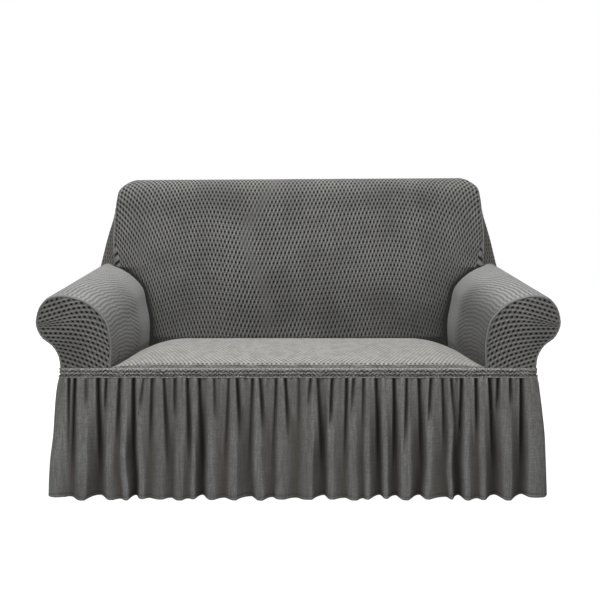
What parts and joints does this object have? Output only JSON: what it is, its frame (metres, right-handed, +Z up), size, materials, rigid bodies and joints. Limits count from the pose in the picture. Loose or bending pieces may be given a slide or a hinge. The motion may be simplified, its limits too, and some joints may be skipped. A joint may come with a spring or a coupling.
{
  "type": "sofa slipcover",
  "caption": "Fitted stretch cover for a two-seat sofa with rolled arms: bubbled knit over back, seat and arms, a shirred elastic band, and a gathered skirt to the floor.",
  "frame": {"origin": "on the floor, under the middle of the cover's outline", "axes": "+X to the cover's right seen from the front, +Y to its rear, +Z up"},
  "size_m": [1.5076, 0.9125, 0.9609],
  "materials": {
    "bubble_knit": "stretch knit with raised bubbles and staggered dark dimples, soft matt",
    "seat_knit": "the same stretch knit, seen paler along its raised bubbles, soft matt",
    "shirred_elastic": "three shirred rows of elastic over knit, matt",
    "skirt_cloth": "plain finely woven cloth, matt"
  },
  "bodies": {
    "root": {"back_panel": "bubble_knit", "seat_panel": "seat_knit", "outer_back": "bubble_knit", "arm_panel_left": "bubble_knit", "arm_panel_right": "bubble_knit", "arm_front_left": "bubble_knit", "arm_front_right": "bubble_knit", "back_side_left": "bubble_knit", "back_side_right": "bubble_knit", "elastic_band": "shirred_elastic", "skirt": "skirt_cloth"}
  },
  "joints": []
}
